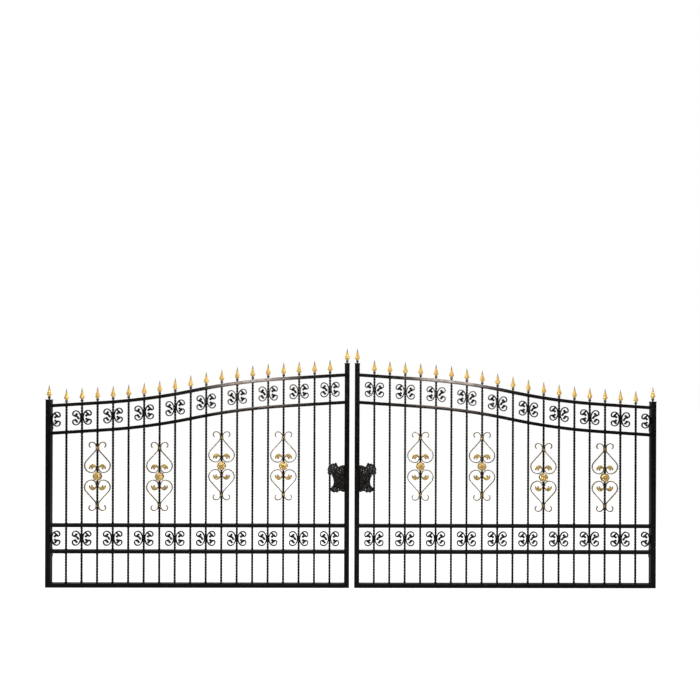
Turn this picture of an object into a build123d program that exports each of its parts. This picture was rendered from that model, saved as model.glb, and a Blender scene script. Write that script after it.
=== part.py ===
from build123d import *
import math
import os

# Double swing driveway gate of welded steel tube, twisted pickets and forged scrollwork, in mm.
# X runs along the gate, Y points into the drive and Z up. The origin lies on the mounting face of
# the left lower hinge bracket, midway between its two anchor holes. The left leaf is drawn
# first and the right leaf is its mirror image.

# Leaves and their frame tubes
leaf_width = 2418.0
centre_gap = 41.0
pier_gap = 6.0
tube_size = 40.0
tube_wall = 2.5
hinge_stile_height = 1492.0
cap_thickness = 5.0
cap_overhang = 3.0

# Rails, with heights from the foot of the gate to the middle of each rail
rail_height = 25.0
rail_depth = 40.0
rail_wall = 2.0
bottom_rail_height = 32.0
lower_mid_rail_level = 285.0
upper_mid_rail_level = 494.0

# Ogee of the arched top rail: two equal arcs that meet at the turn, with straight ends. It starts
# below the top of the hinge stile and the latch stile rises above its other end.
turn_from_hinge = 1171.0
hinge_end_drop = 45.0
latch_stile_rise = 90.0
arc_span = 720.0
end_slope = 0.064
turn_slope = 0.21
arch_band_drop = 219.0

# Pickets
picket_count = 18
picket_size = 12.7

# Spear points, each a collar and a flat diamond head
collar_base_half = 6.0
collar_half = 13.0
collar_level = 20.0
neck_half = 5.0
neck_level = 36.0
head_half_width = 19.5
head_half_depth = 6.0
head_wide_level = 57.0
spear_height = 118.0

# C-scrolls of flat bar on edge
scroll_thickness = 6.0
scroll_depth = 12.0
spine_flat = 66.0
loop_radius = 32.5
loop_turn = 180.0
curl_radius = 16.0
curl_turn = 84.0

# Heart ornaments, drawn as the upper right quarter from the rosette outwards
heart_picket_numbers = (3, 7, 11, 15)
low_heart_level = 884.0
high_heart_level = 971.0
heart_shoulder_radius = 56.0
heart_shoulder_height = 86.0
heart_shoulder_offset = 46.0
heart_side_turn = 42.0
heart_side_radius = 40.0
heart_end_run = 6.0
heart_binding = 12.0
heart_top_radius = 35.0
heart_tip_radius = 22.0
heart_tip_turn = 150.0

# Gold leaf inside each shoulder of a heart
leaf_thickness = 6.0
leaf_outline = ((0.0, 0.0), (6.0, 0.0), (34.0, -17.0), (60.0, -6.0), (40.0, 8.0), (50.0, 25.0))

# Rosettes
rosette_petals = 8
rosette_radius = 34.5
rosette_notch_radius = 29.0
rosette_thickness = 6.0

# Lock plate, as points from the latch stile's inner face and the plate's middle height
lock_plate_level = 878.0
lock_plate_thickness = 8.0
lock_plate_outline = (
    (0.0, 102.0), (-16.0, 102.0), (-34.0, 96.0), (-46.0, 89.0), (-57.0, 99.0), (-62.0, 120.0),
    (-74.0, 122.0), (-80.0, 112.0), (-90.0, 118.0), (-108.0, 107.0), (-127.0, 93.0), (-135.0, 69.0),
    (-130.0, 56.0), (-135.0, 42.0), (-126.0, 23.0), (-95.0, 25.0), (-86.0, 0.0), (-84.0, -28.0),
    (-89.0, -57.0), (-104.0, -76.0), (-117.0, -82.0), (-116.0, -97.0), (-98.0, -111.0), (-80.0, -120.0),
    (-69.0, -111.0), (-59.0, -121.0), (-43.0, -107.0), (-30.0, -105.0), (-12.0, -113.0), (0.0, -112.0),
)

# Hinge brackets and the eyes that hang on them
lower_hinge_level = 240.0
upper_hinge_drop = 232.0
plate_thickness = 8.0
plate_width = 60.0
plate_height = 140.0
anchor_spacing = 100.0
anchor_hole_radius = 6.5
anchor_setback = 40.0
lug_thickness = 12.0
gusset_thickness = 8.0
gusset_drop = 46.0
pin_radius = 8.0
pin_clearance = 0.05
pin_head = 6.0
knuckle_radius = 13.0
knuckle_height = 50.0
knuckle_float = 0.3
hinge_inset = 20.0
hinge_standoff = 18.0
pad_thickness = 6.0
pad_width = 34.0
pad_height = 100.0
pad_rise = 6.0
web_width = 14.0

# Places worked out from the sizes above
foot_z = -lower_hinge_level
outer_x = pier_gap
inner_x = outer_x + tube_size
latch_x = outer_x + leaf_width - tube_size
mirror_x = outer_x + leaf_width + centre_gap / 2
pin_x = outer_x + hinge_inset
pin_y = knuckle_radius - anchor_setback
back_y = pin_y - hinge_standoff
leaf_y = back_y - tube_size / 2
turn_x = outer_x + turn_from_hinge
clear_bay = (latch_x - inner_x - picket_count * picket_size) / (picket_count + 1)
picket_xs = [
    inner_x + clear_bay + picket_size / 2 + number * (clear_bay + picket_size)
    for number in range(picket_count)
]
end_angle = math.atan(end_slope)
turn_angle = math.atan(turn_slope)
arc_radius = arc_span / (math.sin(turn_angle) - math.sin(end_angle))
arc_rise = arc_radius * (math.cos(end_angle) - math.cos(turn_angle))
hinge_top_z = foot_z + hinge_stile_height
turn_z = hinge_top_z - hinge_end_drop + (turn_x - arc_span - inner_x) * end_slope + arc_rise
latch_top_z = turn_z + arc_rise + (latch_x - turn_x - arc_span) * end_slope + latch_stile_rise
low_mid_z = foot_z + lower_mid_rail_level
high_mid_z = foot_z + upper_mid_rail_level
plate_front_y = -anchor_setback
hinge_zs = (0, hinge_top_z - upper_hinge_drop)
arch_faces = (
    (-rail_height / 2, -arch_band_drop), (rail_height / 2, -arch_band_drop), (-rail_height / 2, 0),
)


def write(name, solids):
    """Save one named piece, which may be several solids that don't touch."""
    export_step(Compound(solids), f"parts/{name}.step")


def block(x_low, x_high, y_middle, depth, z_low, z_high):
    """A box between two X places and two heights, centred in depth."""
    size = Box(x_high - x_low, depth, z_high - z_low)
    return Pos((x_low + x_high) / 2, y_middle, (z_low + z_high) / 2) * size


def plate(points, depth, y_middle):
    """A flat piece: an outline in the gate's plane, given depth along Y."""
    corners = [Vector(x, y_middle - depth / 2, z) for x, z in points]
    face = Face(Wire.make_polygon(corners, close=True))
    return Solid.extrude(face, Vector(0, depth, 0))


def moved(solid, x, z):
    """A copy of a piece, shifted in the gate's plane."""
    return solid.moved(Location((x, 0, z)))


def flipped(points):
    """An outline reflected left to right."""
    return [(-x, z) for x, z in points]


def dropped(points):
    """An outline reflected top to bottom."""
    return [(x, -z) for x, z in points]


class BarLine:
    """Middle line of a forged bar in the gate's plane, as straight runs and faceted bends."""

    def __init__(self, x, z, heading):
        self.points = [(x, z)]
        self.heading = math.radians(heading)

    def run(self, length):
        """Go straight on."""
        x, z = self.points[-1]
        self.points.append((x + length * math.cos(self.heading), z + length * math.sin(self.heading)))

    def bend(self, radius, turn, facets):
        """Follow an arc to the right by a number of degrees, or to the left if it is negative."""
        step = -math.radians(turn) / facets
        chord = 2 * radius * math.sin(abs(step) / 2)
        for _ in range(facets):
            self.heading += step / 2
            self.run(chord)
            self.heading += step / 2


def bar_outline(line, thickness):
    """Outline of a bar whose middle follows the line, with mitred corners."""
    sides = ([], [])
    for index, (x, z) in enumerate(line):
        before = line[max(index - 1, 0)]
        after = line[min(index + 1, len(line) - 1)]
        if index == 0:
            before = (2 * x - after[0], 2 * z - after[1])
        if index == len(line) - 1:
            after = (2 * x - before[0], 2 * z - before[1])
        arriving = math.atan2(z - before[1], x - before[0])
        leaving = math.atan2(after[1] - z, after[0] - x)
        half_turn = math.remainder(leaving - arriving, math.tau) / 2
        normal = arriving + half_turn + math.pi / 2
        reach = thickness / 2 / math.cos(half_turn)
        sides[0].append((x + reach * math.cos(normal), z + reach * math.sin(normal)))
        sides[1].append((x - reach * math.cos(normal), z - reach * math.sin(normal)))
    return sides[0] + sides[1][::-1]


def arch_level(x, offset=0.0):
    """Height above a place of the arched top rail's middle, or of a curve offset square to it."""
    junction = turn_x - offset * math.sin(turn_angle)
    side = math.copysign(1, x - junction)
    centre_x = turn_x + side * arc_radius * math.sin(turn_angle)
    centre_z = turn_z - side * arc_radius * math.cos(turn_angle)
    radius = arc_radius + side * offset
    tangent_x = turn_x + side * arc_span - offset * math.sin(end_angle)
    along = side * min(side * x, side * tangent_x)
    rise = math.sqrt(radius ** 2 - (along - centre_x) ** 2)
    return centre_z + side * rise + (x - along) * end_slope


def arch_slope(x):
    """Slope of the arched rails above a place."""
    along = min(abs(x - turn_x), arc_span)
    sine = math.sin(turn_angle) - along / arc_radius
    return sine / math.sqrt(1 - sine ** 2)


def arch_edges(offset, shift):
    """Edges of a curve beside the middle of the arched rail, moved up or down by the shift."""

    def point(x):
        return Vector(x, 0, arch_level(x, offset) + shift)

    low = turn_x - arc_span - offset * math.sin(end_angle)
    high = turn_x + arc_span - offset * math.sin(end_angle)
    junction = turn_x - offset * math.sin(turn_angle)
    return [
        Edge.make_line(point(inner_x), point(low)),
        Edge.make_three_point_arc(point(low), point((low + junction) / 2), point(junction)),
        Edge.make_three_point_arc(point(junction), point((junction + high) / 2), point(high)),
        Edge.make_line(point(high), point(latch_x)),
    ]


def arch_bar(height, depth, shift):
    """A solid bar along the arch, between the two stiles."""
    above = arch_edges(height / 2, shift)
    below = arch_edges(-height / 2, shift)
    ends = [
        Edge.make_line(above[0] @ 0, below[0] @ 0),
        Edge.make_line(above[-1] @ 1, below[-1] @ 1),
    ]
    face = Face(Wire(above + below + ends))
    bar = Solid.extrude(face, Vector(0, depth, 0))
    return bar.moved(Location((0, leaf_y - depth / 2, 0)))


def arch_rail(shift):
    """Hollow rail along the arch, open at the ends that the stiles close."""
    inside = arch_bar(rail_height - 2 * rail_wall, rail_depth - 2 * rail_wall, shift)
    return arch_bar(rail_height, rail_depth, shift) - inside


def straight_bar(z_middle, height, depth):
    """A solid level bar between the two stiles."""
    return block(inner_x, latch_x, leaf_y, depth, z_middle - height / 2, z_middle + height / 2)


def straight_rail(z_middle, height):
    """Hollow level rail, open at the ends that the stiles close."""
    inside = straight_bar(z_middle, height - 2 * rail_wall, rail_depth - 2 * rail_wall)
    return straight_bar(z_middle, height, rail_depth) - inside


def stile(x_low, high):
    """Square tube upright, closed at its foot and open under its cap."""
    outside = block(x_low, x_low + tube_size, leaf_y, tube_size, foot_z, high)
    bore = tube_size - 2 * tube_wall
    x_bore = x_low + tube_wall
    return outside - block(x_bore, x_bore + bore, leaf_y, bore, foot_z + tube_wall, high)


def stile_cap(x_low, low):
    """Flat plate welded on top of a stile."""
    x_high = x_low + tube_size + cap_overhang
    return block(x_low - cap_overhang, x_high, leaf_y, tube_size + 2 * cap_overhang, low, low + cap_thickness)


def pickets():
    """Square bars, each cut between the rails so that its runs butt on them."""
    half = picket_size / 2
    under = -rail_height / 2
    runs = []
    for x in picket_xs:
        levels = [
            (foot_z + bottom_rail_height, low_mid_z + under),
            (low_mid_z - under, high_mid_z + under),
        ]
        for low, high in levels:
            runs.append(plate([(x - half, low), (x + half, low), (x + half, high), (x - half, high)],
                              picket_size, leaf_y))
        left = [high_mid_z - under] + [arch_level(x - half, offset) + shift for offset, shift in arch_faces]
        right = [high_mid_z - under] + [arch_level(x + half, offset) + shift for offset, shift in arch_faces]
        for low in (0, 2):
            outline = [(x - half, left[low]), (x + half, right[low])]
            outline += [(x + half, right[low + 1]), (x - half, left[low + 1])]
            runs.append(plate(outline, picket_size, leaf_y))
    return runs


def diamond(z, half_x, half_y, slope=0.0):
    """Corners of a four-sided section to the sides, front and back, level or on a slope."""
    return [(x, y, z + slope * x) for x, y in ((half_x, 0), (-half_x, 0), (0, half_y), (0, -half_y))]


def spear(slope):
    """Collar and flat diamond head, standing on the origin on a rail of the given slope."""
    sections = [
        diamond(0, collar_base_half, collar_base_half, slope),
        diamond(collar_level, collar_half, collar_half),
        diamond(neck_level, neck_half, neck_half),
        diamond(head_wide_level, head_half_width, head_half_depth),
        [(0, 0, spear_height)],
    ]
    tapers = [ConvexPolyhedron(low + high) for low, high in zip(sections, sections[1:])]
    return Solid.fuse(*tapers).solid()


def spear_points():
    """A spear on every picket, seated on the slope of the top rail, and one on every stile cap."""
    points = []
    for x in picket_xs:
        seat = Location((x, leaf_y, arch_level(x, rail_height / 2)))
        points.append(spear(arch_slope(x)).moved(seat))
    for x, top_z in ((outer_x, hinge_top_z), (latch_x, latch_top_z)):
        seat = Location((x + tube_size / 2, leaf_y, top_z + cap_thickness))
        points.append(spear(0).moved(seat))
    return points


def c_scroll():
    """C-scroll with its spine on the origin, open towards +X."""
    upper = BarLine(scroll_thickness / 2, 0, 90)
    upper.run(spine_flat / 2)
    upper.bend(loop_radius, loop_turn, 3)
    upper.bend(curl_radius, curl_turn, 1)
    line = dropped(upper.points[:0:-1]) + upper.points[1:]
    return plate(bar_outline(line, scroll_thickness), scroll_depth, leaf_y)


def scroll_row(level_at):
    """C-scrolls back to back on every second picket, and one against the hinge stile."""
    opening_right = c_scroll()
    opening_left = opening_right.mirror(Plane.YZ)
    row = [moved(opening_right, inner_x, level_at(inner_x + loop_radius))]
    for x in picket_xs[1::2]:
        left_x = x - picket_size / 2
        right_x = x + picket_size / 2
        row.append(moved(opening_left, left_x, level_at(left_x - loop_radius)))
        row.append(moved(opening_right, right_x, level_at(right_x + loop_radius)))
    return row


def heart_quarter():
    """Middle line of the upper right bar of a heart, from the rosette's side outwards."""
    side_x = (picket_size + scroll_thickness) / 2
    return_radius = heart_shoulder_offset - side_x
    shoulder_foot = heart_shoulder_height - heart_shoulder_radius
    side_angle = math.radians(heart_side_turn)
    line = BarLine(side_x, shoulder_foot + return_radius + heart_end_run, -90)
    line.run(heart_end_run)
    line.bend(return_radius, -90, 2)
    line.bend(heart_shoulder_radius, -90 - heart_side_turn, 3)
    across = line.points[-1][0] - side_x - heart_side_radius * (1 - math.cos(side_angle))
    line.run(across / math.sin(side_angle))
    line.bend(heart_side_radius, heart_side_turn, 1)
    line.run(heart_binding)
    line.bend(heart_top_radius, 90, 2)
    line.bend(heart_tip_radius, heart_tip_turn, 2)
    return line.points


def quarters(outline, depth):
    """An upper right outline repeated in the four quarters round a rosette."""
    lower = dropped(outline)
    return [plate(points, depth, leaf_y) for points in (outline, flipped(outline), lower, flipped(lower))]


def heart_places():
    """Picket place and rosette height of each heart, counted from the hinge side."""
    levels = (low_heart_level, low_heart_level, high_heart_level, high_heart_level)
    return [(picket_xs[number - 1], foot_z + level) for number, level in zip(heart_picket_numbers, levels)]


def repeated(shapes):
    """Copies of the shapes at every heart."""
    return [moved(shape, x, z) for x, z in heart_places() for shape in shapes]


def heart_scrolls():
    """The four bars of each heart."""
    return repeated(quarters(bar_outline(heart_quarter(), scroll_thickness), scroll_depth))


def heart_leaves():
    """Cast leaves that end the bars inside the shoulders of each heart."""
    x_end, z_end = heart_quarter()[0]
    root_x = x_end - scroll_thickness / 2
    outline = [(root_x + x, z_end + z) for x, z in leaf_outline]
    return repeated(quarters(outline, leaf_thickness))


def rosettes():
    """Petalled castings on the front and back of the picket at the middle of each heart."""
    outline = []
    for petal in range(rosette_petals):
        for radius, part in ((rosette_radius, 0), (rosette_notch_radius, 0.5)):
            angle = math.tau * (petal + part) / rosette_petals
            outline.append((radius * math.cos(angle), radius * math.sin(angle)))
    off_centre = (picket_size + rosette_thickness) / 2
    faces = [plate(outline, rosette_thickness, leaf_y + side * off_centre) for side in (-1, 1)]
    return repeated(faces)


def lock_plate():
    """Cast plate on the front of the last picket, butting on the latch stile."""
    y_middle = leaf_y - (picket_size + lock_plate_thickness) / 2
    casting = plate(lock_plate_outline, lock_plate_thickness, y_middle)
    return moved(casting, latch_x, foot_z + lock_plate_level)


def hinge_bracket(z_middle):
    """Wall plate with a lug, its gusset and the upright pin, as one weldment."""
    plate_y = plate_front_y + plate_width / 2
    half = plate_height / 2
    bracket = block(0, plate_thickness, plate_y, plate_width, z_middle - half, z_middle + half)
    for z in (z_middle - anchor_spacing / 2, z_middle + anchor_spacing / 2):
        hole = Pos(plate_thickness / 2, 0, z) * Rot(0, 90, 0)
        bracket -= hole * Cylinder(anchor_hole_radius, 2 * plate_thickness)
    lug_low = z_middle - lug_thickness / 2
    lug_high = z_middle + lug_thickness / 2
    bracket += block(plate_thickness, pin_x, pin_y, 2 * knuckle_radius, lug_low, lug_high)
    bracket += Pos(pin_x, pin_y, z_middle) * Cylinder(knuckle_radius, lug_thickness)
    rib = ((plate_thickness, lug_low), (pin_x, lug_low), (plate_thickness, lug_low - gusset_drop))
    bracket += plate(rib, gusset_thickness, pin_y)
    pin_length = knuckle_float + knuckle_height + pin_head
    bracket += Pos(pin_x, pin_y, lug_high + pin_length / 2) * Cylinder(pin_radius, pin_length)
    return bracket.solid()


def hinge_eye(z_middle):
    """Bored knuckle on a web and pad, welded to the back of the hinge stile."""
    low = z_middle + lug_thickness / 2 + knuckle_float
    high = low + knuckle_height
    pad_low = low + pad_rise
    pad_x = outer_x + tube_size / 2
    eye = Pos(pin_x, pin_y, (low + high) / 2) * Cylinder(knuckle_radius, knuckle_height)
    web_y = (back_y + pin_y) / 2
    eye += block(pin_x - web_width / 2, pin_x + web_width / 2, web_y, pin_y - back_y, pad_low, high)
    pad_y = back_y + pad_thickness / 2
    eye += block(pad_x - pad_width / 2, pad_x + pad_width / 2, pad_y, pad_thickness, pad_low, pad_low + pad_height)
    bore = Cylinder(pin_radius + pin_clearance, 2 * knuckle_height)
    return (eye - Pos(pin_x, pin_y, (low + high) / 2) * bore).solid()


def left_half():
    """Every piece of the left leaf and its hinges by name."""
    low_band_z = (low_mid_z + high_mid_z) / 2
    return {
        "hinge_stile": [stile(outer_x, hinge_top_z)],
        "hinge_stile_cap": [stile_cap(outer_x, hinge_top_z)],
        "latch_stile": [stile(latch_x, latch_top_z)],
        "latch_stile_cap": [stile_cap(latch_x, latch_top_z)],
        "bottom_rail": [straight_rail(foot_z + bottom_rail_height / 2, bottom_rail_height)],
        "lower_mid_rail": [straight_rail(low_mid_z, rail_height)],
        "upper_mid_rail": [straight_rail(high_mid_z, rail_height)],
        "arched_second_rail": [arch_rail(-arch_band_drop)],
        "arched_top_rail": [arch_rail(0)],
        "pickets": pickets(),
        "spear_points": spear_points(),
        "upper_scrolls": scroll_row(lambda x: arch_level(x) - arch_band_drop / 2),
        "lower_scrolls": scroll_row(lambda x: low_band_z),
        "heart_scrolls": heart_scrolls(),
        "heart_leaves": heart_leaves(),
        "rosettes": rosettes(),
        "lock_plate": [lock_plate()],
        "hinge_eyes": [hinge_eye(z) for z in hinge_zs],
        "hinge_brackets": [hinge_bracket(z) for z in hinge_zs],
    }


os.makedirs("parts", exist_ok=True)
middle = Plane.YZ.offset(mirror_x)
for name, pieces in left_half().items():
    solids = [solid for piece in pieces for solid in piece.solids()]
    write(f"left_{name}", solids)
    write(f"right_{name}", [solid.mirror(middle) for solid in solids])
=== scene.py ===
import math

import bmesh
import bpy
import numpy as np
from mathutils import Matrix, Vector


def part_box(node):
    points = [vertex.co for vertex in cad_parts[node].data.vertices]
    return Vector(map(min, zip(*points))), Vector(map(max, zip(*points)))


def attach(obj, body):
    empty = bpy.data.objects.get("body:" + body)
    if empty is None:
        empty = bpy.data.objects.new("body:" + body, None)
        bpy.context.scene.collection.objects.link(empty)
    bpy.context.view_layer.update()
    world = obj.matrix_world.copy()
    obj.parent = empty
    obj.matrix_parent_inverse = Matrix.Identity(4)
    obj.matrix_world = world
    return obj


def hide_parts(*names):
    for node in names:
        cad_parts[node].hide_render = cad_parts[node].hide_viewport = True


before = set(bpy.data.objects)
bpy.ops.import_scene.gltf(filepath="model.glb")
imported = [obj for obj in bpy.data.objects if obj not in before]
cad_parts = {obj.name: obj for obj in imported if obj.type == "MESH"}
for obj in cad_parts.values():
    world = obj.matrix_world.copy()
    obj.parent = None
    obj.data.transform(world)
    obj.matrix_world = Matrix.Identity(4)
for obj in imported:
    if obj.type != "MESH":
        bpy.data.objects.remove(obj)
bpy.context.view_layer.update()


# Frame of each leaf
# Square steel tube uprights and rectangular tube rails, saw cut, MIG welded into one frame, ground flush
# and sprayed with a warm near-black satin paint that has dried a little mottled.
MM = 0.001
TUBE_CORNER = 1.6 * MM
RAIL_CORNER = 1.2 * MM
RAIL_HEIGHT = 25.0 * MM
BOTTOM_RAIL_HEIGHT = 32.0 * MM
COAT = 0.5 * MM
ARCH_STEP = 12.0 * MM
END_SLOPE = 0.064
TURN_SLOPE = 0.21
ARC_SPAN = 720.0 * MM
TURN_FROM_HINGE = 1171.0 * MM
SHARP_ANGLE = math.radians(35)
CORNER_STEPS = 2
PATCH_DETAIL = 4.0
PATCH_EDGES = (0.42, 0.68)
PATCH_ROUGHNESS = 0.25
STREAK_SCALE = 7.0
STREAK_DETAIL = 6.0
DUST_AND_TOP_LIGHT_FACING = (0.35, 0.95)
DUST_ROUGHNESS = 0.8
GRAIN_DETAIL = 2.0
FILM_GLOSS = 0.1
SIDES = ("left", "right")

hinge_low, hinge_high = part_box("left_hinge_stile")
latch_low, latch_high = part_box("left_latch_stile")
far_latch_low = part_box("right_latch_stile")[0]
foot_z = hinge_low.z
inner_x = hinge_high.x
latch_x = latch_low.x
leaf_y = (hinge_low.y + hinge_high.y) / 2
tube = hinge_high.x - hinge_low.x
mirror_x = (latch_high.x + far_latch_low.x) / 2
turn_x = hinge_low.x + TURN_FROM_HINGE
end_angle = math.atan(END_SLOPE)
turn_angle = math.atan(TURN_SLOPE)
arc_radius = ARC_SPAN / (math.sin(turn_angle) - math.sin(end_angle))
arc_rise = arc_radius * (math.cos(end_angle) - math.cos(turn_angle))


def new_group(name, kind, inputs, outputs):
    """An empty node tree with its named sockets, and the ends that its nodes link to."""
    tree = bpy.data.node_groups.new(name, kind)
    for way, sockets in (("INPUT", inputs), ("OUTPUT", outputs)):
        for label, value_type in sockets.items():
            tree.interface.new_socket(label, in_out=way, socket_type=f"NodeSocket{value_type}")
    return tree, tree.nodes.new("NodeGroupInput").outputs, tree.nodes.new("NodeGroupOutput").inputs


def add(tree, kind, inputs=(), **settings):
    """A node whose inputs are plain values or the outputs of other nodes."""
    node = tree.nodes.new(kind)
    for name, value in settings.items():
        setattr(node, name, value)
    for key, value in dict(inputs).items():
        if isinstance(value, bpy.types.NodeSocket):
            tree.links.new(value, node.inputs[key])
        else:
            node.inputs[key].default_value = value
    return node


def math_node(tree, operation, *values):
    """The result of one step of arithmetic."""
    return add(tree, "ShaderNodeMath", dict(enumerate(values)), operation=operation).outputs[0]


def path_curves(tree, paths):
    """Curves along the paths, whose sections keep one side to the back of the gate."""
    line = add(tree, "GeometryNodeMeshToCurve", {"Mesh": paths})
    facing = add(tree, "GeometryNodeSetCurveNormal",
                 {"Curve": line.outputs[0], "Normal": (0.0, 1.0, 0.0)}, mode="FREE")
    return facing.outputs[0]


def end_tree(tree, shape, material, result):
    """Make what a tree has built real and give it its material."""
    whole = add(tree, "GeometryNodeRealizeInstances", {0: shape})
    painted = add(tree, "GeometryNodeSetMaterial", {"Geometry": whole.outputs[0], "Material": material})
    tree.links.new(painted.outputs[0], result)


def build_bar_tree():
    """Sweep a rounded flat or square section along every path, twisted if it says so."""
    tree, given, result = new_group(
        "bar_along_paths", "GeometryNodeTree",
        {"Paths": "Geometry", "Width": "Float", "Depth": "Float", "Corner": "Float", "Turns": "Float",
         "Phase": "Float", "Material": "Material"},
        {"Bars": "Geometry"},
    )
    curves = path_curves(tree, given["Paths"])
    along = add(tree, "GeometryNodeSplineParameter").outputs["Length"]
    place = add(tree, "GeometryNodeInputPosition").outputs[0]
    across = add(tree, "ShaderNodeSeparateXYZ", {0: place}).outputs[0]
    turned = math_node(tree, "MULTIPLY", along, given["Turns"])
    offset = math_node(tree, "MULTIPLY", across, given["Phase"])
    angle = math_node(tree, "MULTIPLY", math_node(tree, "ADD", turned, offset), math.tau)
    tilted = add(tree, "GeometryNodeSetCurveTilt", {"Curve": curves, "Tilt": angle})
    section = add(tree, "GeometryNodeCurvePrimitiveQuadrilateral",
                  {"Width": given["Depth"], "Height": given["Width"]})
    rounded = add(tree, "GeometryNodeFilletCurve",
                  {"Curve": section.outputs[0], "Radius": given["Corner"], "Count": CORNER_STEPS},
                  mode="POLY")
    swept = add(tree, "GeometryNodeCurveToMesh",
                {"Curve": tilted.outputs[0], "Profile Curve": rounded.outputs[0], "Fill Caps": True})
    end_tree(tree, swept.outputs[0], given["Material"], result["Bars"])
    return tree


bar_tree = build_bar_tree()


def path_mesh(name, paths, **values):
    """A mesh of edges with one chain for each path, and named values, such as girths, at its points."""
    points = [point for path in paths for point in path]
    edges = []
    start = 0
    for path in paths:
        edges += [(start + step, start + step + 1) for step in range(len(path) - 1)]
        start += len(path)
    mesh = bpy.data.meshes.new(name)
    mesh.from_pydata(points, edges, [])
    for label, rows in values.items():
        attribute = mesh.attributes.new(label, "FLOAT", "POINT")
        attribute.data.foreach_set("value", [value for row in rows for value in row])
    return mesh


def keep_piece(name, mesh, body, replaces=()):
    """Put a finished mesh in the scene as a piece that rides on its body."""
    mesh.name = name
    mesh.shade_smooth()
    mesh.set_sharp_from_angle(angle=SHARP_ANGLE)
    piece = bpy.data.objects.new(name, mesh)
    bpy.context.collection.objects.link(piece)
    flats = piece.modifiers.new("even_flats", "WEIGHTED_NORMAL")
    flats.keep_sharp = True
    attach(piece, body)
    if replaces:
        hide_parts(*replaces)


def plain_mesh(name, source, tree, **values):
    """Run a node tree on a source mesh and return the plain mesh that it makes."""
    carrier = bpy.data.objects.new(name, source)
    bpy.context.collection.objects.link(carrier)
    modifier = carrier.modifiers.new(name, "NODES")
    modifier.node_group = tree
    for item in tree.interface.items_tree:
        if item.in_out == "INPUT" and item.name in values:
            modifier[item.identifier] = values[item.name]
    evaluated = carrier.evaluated_get(bpy.context.evaluated_depsgraph_get())
    mesh = bpy.data.meshes.new_from_object(evaluated)
    bpy.data.objects.remove(carrier)
    bpy.data.meshes.remove(source)
    return mesh


def bar_mesh(name, paths, width, depth, corner, material, **twist):
    """Bars of one section along the paths, as a plain mesh."""
    return plain_mesh(name, path_mesh(name, paths), bar_tree, Width=width, Depth=depth, Corner=corner,
                      Material=material, **twist)


def span(tree, value, edges, ends=(0.0, 1.0)):
    """Carry a value from one pair of edges to another, held at both ends."""
    inputs = {"Value": value, "From Min": edges[0], "From Max": edges[1],
              "To Min": ends[0], "To Max": ends[1]}
    return add(tree, "ShaderNodeMapRange", inputs).outputs[0]


def mixed(tree, share, first, second):
    """The colour that a share of the second brings over the first."""
    return add(tree, "ShaderNodeMix", {0: share, 6: first, 7: second}, data_type="RGBA").outputs[2]


def noise(tree, vector, scale, detail):
    """Cloudy noise of one scale."""
    inputs = {"Vector": vector, "Scale": scale, "Detail": detail}
    return add(tree, "ShaderNodeTexNoise", inputs).outputs["Fac"]


def build_film_group():
    """Mottled sprayed or brushed paint: patches of two colours, with dust and painted top light on what
    faces up.
    """
    tree, given, result = new_group(
        "paint_film", "ShaderNodeTree",
        {"Color": "Color", "Patch Color": "Color", "Patch Scale": "Float", "Patch Amount": "Float",
         "Dust Color": "Color", "Dust": "Float", "Roughness": "Float", "Grain Scale": "Float"},
        {"Color": "Color", "Roughness": "Float", "Height": "Float"},
    )
    where = add(tree, "ShaderNodeTexCoord").outputs
    patches = noise(tree, where["Object"], given["Patch Scale"], PATCH_DETAIL)
    patch = span(tree, patches, PATCH_EDGES, (0.0, given["Patch Amount"]))
    base = mixed(tree, patch, given["Color"], given["Patch Color"])
    # Dust and painted light: what faces up is made lighter in streaks, as settled dust and as light falling
    # on top faces.
    up = add(tree, "ShaderNodeSeparateXYZ", {0: where["Normal"]}).outputs[2]
    streaks = noise(tree, where["Object"], STREAK_SCALE, STREAK_DETAIL)
    dust_and_top_light_mask = math_node(tree, "MULTIPLY", span(tree, up, DUST_AND_TOP_LIGHT_FACING), streaks)
    dust_and_top_light_share = math_node(tree, "MULTIPLY", dust_and_top_light_mask, given["Dust"])
    grain = noise(tree, where["Object"], given["Grain Scale"], GRAIN_DETAIL)
    rough = math_node(tree, "MULTIPLY_ADD", patches, PATCH_ROUGHNESS, given["Roughness"])
    rougher = math_node(tree, "ADD", rough, math_node(tree, "MULTIPLY", dust_and_top_light_mask, DUST_ROUGHNESS))
    tree.links.new(mixed(tree, dust_and_top_light_share, base, given["Dust Color"]), result["Color"])
    tree.links.new(math_node(tree, "SUBTRACT", rougher, FILM_GLOSS), result["Roughness"])
    tree.links.new(grain, result["Height"])
    return tree


film_group = build_film_group()


def coated(name, relief, relief_depth, specular, metallic=0.0, **film):
    """A material of sprayed or brushed paint, with a fine relief."""
    material = bpy.data.materials.new(name)
    material.use_nodes = True
    tree = material.node_tree
    shader = tree.nodes["Principled BSDF"]
    coat = add(tree, "ShaderNodeGroup", node_tree=film_group)
    for label, value in film.items():
        coat.inputs[label.replace("_", " ").title()].default_value = value
    bump = add(tree, "ShaderNodeBump",
               {"Height": coat.outputs["Height"], "Strength": relief, "Distance": relief_depth})
    tree.links.new(coat.outputs["Color"], shader.inputs["Base Color"])
    tree.links.new(coat.outputs["Roughness"], shader.inputs["Roughness"])
    tree.links.new(bump.outputs["Normal"], shader.inputs["Normal"])
    shader.inputs["Specular IOR Level"].default_value = specular
    shader.inputs["Metallic"].default_value = metallic
    return material


satin_black = coated(
    "satin_black_paint", relief=0.08, relief_depth=0.1 * MM, specular=0.07,
    color=(0.002, 0.0015, 0.0012, 1), patch_color=(0.006, 0.004, 0.003, 1), patch_scale=24.0,
    patch_amount=0.6, dust_color=(0.05, 0.038, 0.028, 1), dust=0.12, roughness=0.08, grain_scale=700.0,
)


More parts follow.
